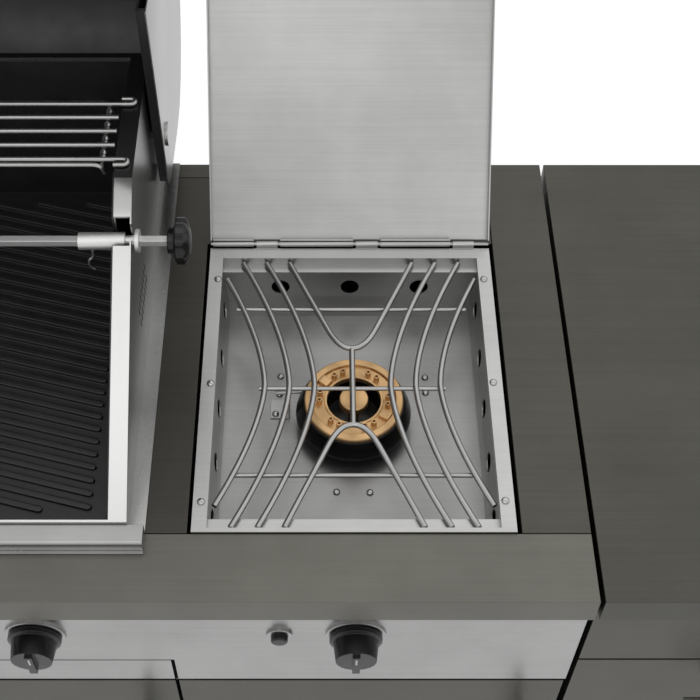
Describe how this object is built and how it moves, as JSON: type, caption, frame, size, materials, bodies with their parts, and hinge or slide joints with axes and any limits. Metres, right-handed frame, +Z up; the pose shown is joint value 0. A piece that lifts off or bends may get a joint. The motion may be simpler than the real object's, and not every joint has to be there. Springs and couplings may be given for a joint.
{
  "type": "outdoor kitchen island",
  "caption": "Steel outdoor kitchen island: hooded built-in gas grill with rotisserie, drop-in side burner with lid, doors below, and a drawer module with a plain worktop.",
  "frame": {"origin": "middle of the bounding box in plan, at floor height", "axes": "+X along the island to the right as seen from the front, -Y to the front where the cook stands, +Z up; the hood and the burner lid are open at rest"},
  "size_m": [1.926, 0.8484, 1.5481],
  "materials": {
    "gunmetal_sheet": "dark brushed",
    "stainless": "brushed",
    "polished_steel": "polished",
    "black_enamel": "satin enamel",
    "cast_iron": "rough",
    "brass": "cast, slightly rough",
    "black_plastic": "gloss",
    "carcass_paint": "dark powder coat"
  },
  "bodies": {
    "island": {"worktop_front_strip": "gunmetal_sheet", "worktop_left_strip": "gunmetal_sheet", "worktop_middle_strip": "gunmetal_sheet", "worktop_right_strip": "gunmetal_sheet", "worktop_back_strip": "gunmetal_sheet", "storage_worktop": "gunmetal_sheet", "grill_cabinet_shell": "carcass_paint", "grill_cabinet_floor": "carcass_paint", "grill_plinth": "black_plastic", "grill_cabinet_divider": "carcass_paint", "control_panel": "stainless", "storage_cabinet_shell": "carcass_paint", "storage_plinth": "black_plastic", "grill_housing": "stainless", "grill_front_bar": "stainless", "firebox": "black_enamel", "ribbed_hotplate": "cast_iron", "grill_grate": "cast_iron", "tube_burner_1": "stainless", "tube_burner_2": "stainless", "tube_burner_3": "stainless", "tube_burner_4": "stainless", "gas_manifold": "brass", "warming_rack": "polished_steel", "rotisserie_motor": "black_plastic", "burner_tub": "stainless", "burner_base": "cast_iron", "burner_ring": "brass", "burner_cap": "brass", "burner_igniter": "stainless", "burner_trivet": "polished_steel", "lid_hinge_pin": "stainless"},
    "hood": {"hood_outer_shell": "stainless", "hood_inner_liner": "black_enamel", "hood_handle": "stainless", "hood_thermometer": "stainless"},
    "burner_lid": {"burner_lid": "stainless"},
    "spit": {"spit_rod": "polished_steel", "spit_bushing": "polished_steel", "spit_knob": "black_plastic"},
    "spit_thumbscrew": {"spit_thumbscrew": "polished_steel"},
    "left_door": {"left_door": "gunmetal_sheet", "left_door_handle": "stainless"},
    "right_door": {"right_door": "gunmetal_sheet", "right_door_handle": "stainless"},
    "burner_bay_door": {"burner_bay_door": "gunmetal_sheet", "burner_bay_door_handle": "stainless"},
    "top_drawer": {"top_drawer": "gunmetal_sheet", "top_drawer_handle": "stainless"},
    "middle_drawer": {"middle_drawer": "gunmetal_sheet", "middle_drawer_handle": "stainless"},
    "bottom_drawer": {"bottom_drawer": "gunmetal_sheet", "bottom_drawer_handle": "stainless"},
    "drip_tray": {"drip_tray": "stainless"},
    "grill_knob_1": {"grill_knob_1": "black_plastic"},
    "grill_knob_2": {"grill_knob_2": "black_plastic"},
    "grill_knob_3": {"grill_knob_3": "black_plastic"},
    "grill_knob_4": {"grill_knob_4": "black_plastic"},
    "burner_knob": {"burner_knob": "black_plastic"},
    "igniter_button": {"igniter_button": "black_plastic"}
  },
  "joints": [
    {"name": "hood_hinge", "type": "hinge", "parent": "island", "child": "hood", "pos_m": [-0.963, 0.13822, 1.01], "axis": [1, 0, 0], "range_deg": [0, 97]},
    {"name": "burner_lid_hinge", "type": "hinge", "parent": "island", "child": "burner_lid", "pos_m": [-0.0866, 0.06012, 0.906], "axis": [1, 0, 0], "range_deg": [0, 131.4]},
    {"name": "spit_turn", "type": "hinge", "parent": "island", "child": "spit", "pos_m": [-0.133, -0.06978, 1.0564], "axis": [1, 0, 0], "continuous": true},
    {"name": "spit_thumbscrew_turn", "type": "hinge", "parent": "spit", "child": "spit_thumbscrew", "pos_m": [-0.19293, -0.06978, 1.0521], "axis": [0, 0, 1], "continuous": true},
    {"name": "left_door_hinge", "type": "hinge", "parent": "island", "child": "left_door", "pos_m": [-0.9545, -0.37938, 0.1036], "axis": [0, 0, -1], "range_deg": [0, 110]},
    {"name": "right_door_hinge", "type": "hinge", "parent": "island", "child": "right_door", "pos_m": [-0.53125, -0.37938, 0.1036], "axis": [0, 0, -1], "range_deg": [0, 110]},
    {"name": "burner_bay_door_hinge", "type": "hinge", "parent": "island", "child": "burner_bay_door", "pos_m": [-0.108, -0.37938, 0.1036], "axis": [0, 0, -1], "range_deg": [0, 110]},
    {"name": "top_drawer_slide", "type": "slide", "parent": "island", "child": "top_drawer", "axis": [0, -1, 0], "range_m": [0, 0.4]},
    {"name": "middle_drawer_slide", "type": "slide", "parent": "island", "child": "middle_drawer", "axis": [0, -1, 0], "range_m": [0, 0.4]},
    {"name": "bottom_drawer_slide", "type": "slide", "parent": "island", "child": "bottom_drawer", "axis": [0, -1, 0], "range_m": [0, 0.4]},
    {"name": "drip_tray_slide", "type": "slide", "parent": "island", "child": "drip_tray", "axis": [0, -1, 0], "range_m": [0, 0.4]},
    {"name": "grill_knob_1_turn", "type": "hinge", "parent": "island", "child": "grill_knob_1", "pos_m": [-0.77175, -0.38638, 0.795], "axis": [0, -1, 0], "range_deg": [0, 180]},
    {"name": "grill_knob_2_turn", "type": "hinge", "parent": "island", "child": "grill_knob_2", "pos_m": [-0.59925, -0.38638, 0.795], "axis": [0, -1, 0], "range_deg": [0, 180]},
    {"name": "grill_knob_3_turn", "type": "hinge", "parent": "island", "child": "grill_knob_3", "pos_m": [-0.42675, -0.38638, 0.795], "axis": [0, -1, 0], "range_deg": [0, 180]},
    {"name": "grill_knob_4_turn", "type": "hinge", "parent": "island", "child": "grill_knob_4", "pos_m": [-0.25425, -0.38638, 0.795], "axis": [0, -1, 0], "range_deg": [0, 180]},
    {"name": "burner_knob_turn", "type": "hinge", "parent": "island", "child": "burner_knob", "pos_m": [0.0813, -0.38638, 0.795], "axis": [0, -1, 0], "range_deg": [0, 180]},
    {"name": "igniter_button_press", "type": "slide", "parent": "island", "child": "igniter_button", "axis": [0, 1, 0], "range_m": [0, 0.004], "stiffness_N_per_m": 400}
  ]
}
